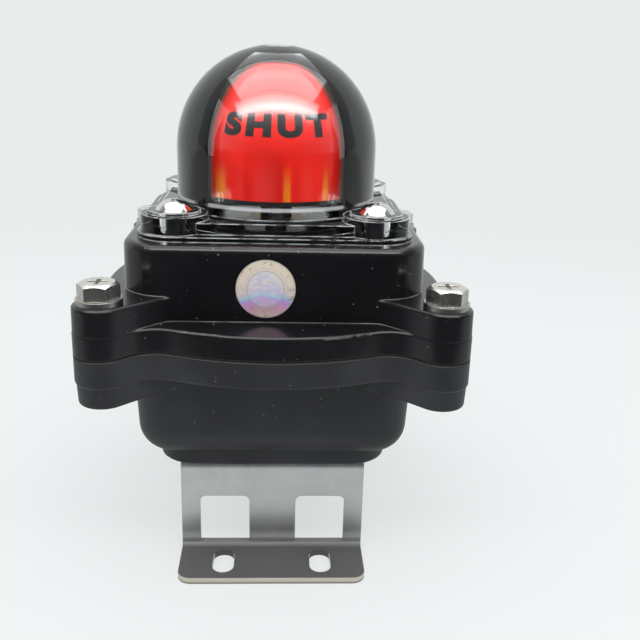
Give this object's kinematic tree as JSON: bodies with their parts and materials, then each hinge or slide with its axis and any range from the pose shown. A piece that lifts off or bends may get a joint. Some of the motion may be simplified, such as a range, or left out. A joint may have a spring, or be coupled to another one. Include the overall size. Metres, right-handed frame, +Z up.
{
  "type": "valve limit switch box",
  "caption": "Valve position switch box: cast housing on a bent bracket, with a clear dome over a turning red and yellow indicator.",
  "frame": {"origin": "on the drive shaft's axis, level with the underside of the bracket's feet", "axes": "+Z up along the drive shaft, -Y the box's front, +X to the right seen from the front; the cable entries are at +Y"},
  "size_m": [0.108, 0.1172, 0.1551],
  "materials": {
    "bracket_steel": "raw brushed",
    "bolt_steel": "bright plated",
    "screw_steel": "polished",
    "base_paint": "matt black powder coat",
    "cover_paint": "semi-gloss black coat",
    "seal_rubber": "matt",
    "clear_dome": "clear moulded polycarbonate",
    "mask_black": "gloss",
    "drum_red": "gloss, red and yellow quarters",
    "carrier_black": "satin",
    "shaft_steel": "turned",
    "bushing_bronze": "sintered",
    "hub_plastic": "natural",
    "cam_red": "satin",
    "cam_yellow": "satin",
    "spring_steel": "drawn wire",
    "switch_case": "satin",
    "plunger_red": "satin",
    "sheet_steel": "zinc plated",
    "tab_brass": "bright",
    "insulator_card": "matt card",
    "block_plastic": "satin",
    "plug_metal": "nickel plated"
  },
  "bodies": {
    "housing": {"mounting_bracket": "bracket_steel", "bracket_screws": "bolt_steel", "bracket_washers": "bolt_steel", "housing_base": "base_paint", "housing_cover": "cover_paint", "cover_seal": "seal_rubber", "cover_bolts": "bolt_steel", "cover_washers": "bolt_steel", "indicator_dome": "clear_dome", "dome_seal": "seal_rubber", "dome_screws": "screw_steel", "dome_mask": "mask_black", "lower_bushing": "bushing_bronze", "upper_bushing": "bushing_bronze", "switch_plate": "sheet_steel", "switch_plate_screws": "bolt_steel", "upper_switch": "switch_case", "lower_switch": "switch_case", "switch_terminals": "tab_brass", "switch_insulator": "insulator_card", "switch_screws": "bolt_steel", "lever_pins": "shaft_steel", "terminal_block": "block_plastic", "terminal_screws": "bolt_steel", "terminal_block_screws": "bolt_steel", "inner_earth_screw": "bolt_steel", "outer_earth_screw": "bolt_steel", "blanking_plug": "plug_metal"},
    "rotor": {"drive_shaft": "shaft_steel", "shaft_seals": "seal_rubber", "cam_hub": "hub_plastic", "hub_circlip": "spring_steel", "spring_retainer": "sheet_steel", "upper_cam_spring": "spring_steel", "lower_cam_spring": "spring_steel", "indicator_carrier": "carrier_black", "indicator_drum": "drum_red", "carrier_screw": "bolt_steel"},
    "upper_cam": {"upper_cam": "cam_red"},
    "lower_cam": {"lower_cam": "cam_yellow"},
    "upper_lever": {"upper_lever": "sheet_steel"},
    "lower_lever": {"lower_lever": "sheet_steel"},
    "upper_roller": {"upper_roller": "shaft_steel"},
    "lower_roller": {"lower_roller": "shaft_steel"},
    "upper_plunger": {"upper_plunger": "plunger_red"},
    "lower_plunger": {"lower_plunger": "plunger_red"}
  },
  "joints": [
    {"name": "shaft_turn", "type": "hinge", "parent": "housing", "child": "rotor", "pos_m": [0, 0, 0], "axis": [0, 0, 1], "range_deg": [0, 90]},
    {"name": "upper_cam_lift", "type": "slide", "parent": "rotor", "child": "upper_cam", "axis": [0, 0, 1], "range_m": [0, 0.004], "stiffness_N_per_m": 300, "springref_m": -0.003, "deforming": ["upper_cam_spring"]},
    {"name": "lower_cam_drop", "type": "slide", "parent": "rotor", "child": "lower_cam", "axis": [0, 0, -1], "range_m": [0, 0.004], "stiffness_N_per_m": 300, "springref_m": -0.003, "deforming": ["lower_cam_spring"]},
    {"name": "upper_lever_swing", "type": "hinge", "parent": "housing", "child": "upper_lever", "pos_m": [-0.018, 0.0125, 0.0773], "axis": [0, 0, 1], "range_deg": [-9.3, 0]},
    {"name": "lower_lever_swing", "type": "hinge", "parent": "housing", "child": "lower_lever", "pos_m": [-0.018, 0.0125, 0.0662], "axis": [0, 0, 1], "range_deg": [0, 9.3]},
    {"name": "upper_roller_spin", "type": "hinge", "parent": "upper_lever", "child": "upper_roller", "pos_m": [-0.01255, 0, 0.0773], "axis": [0, 0, 1], "range_deg": [-424, 0]},
    {"name": "lower_roller_spin", "type": "hinge", "parent": "lower_lever", "child": "lower_roller", "pos_m": [-0.01461, -0.00071, 0.0662], "axis": [0, 0, 1], "range_deg": [-424, 0]},
    {"name": "upper_plunger_press", "type": "slide", "parent": "housing", "child": "upper_plunger", "axis": [-1, 0, 0], "range_m": [0, 0.00123]},
    {"name": "lower_plunger_release", "type": "slide", "parent": "housing", "child": "lower_plunger", "axis": [1, 0, 0], "range_m": [0, 0.00123]}
  ],
  "couplings": [
    {"joint": "upper_lever_swing", "follows": "shaft_turn", "ratio": -0.10186},
    {"joint": "lower_lever_swing", "follows": "shaft_turn", "ratio": 0.10186},
    {"joint": "upper_roller_spin", "follows": "shaft_turn", "ratio": -4.7},
    {"joint": "lower_roller_spin", "follows": "shaft_turn", "ratio": -4.7},
    {"joint": "upper_plunger_press", "follows": "shaft_turn", "m_per_rad": 0.00077439},
    {"joint": "lower_plunger_release", "follows": "shaft_turn", "m_per_rad": 0.00077439}
  ]
}
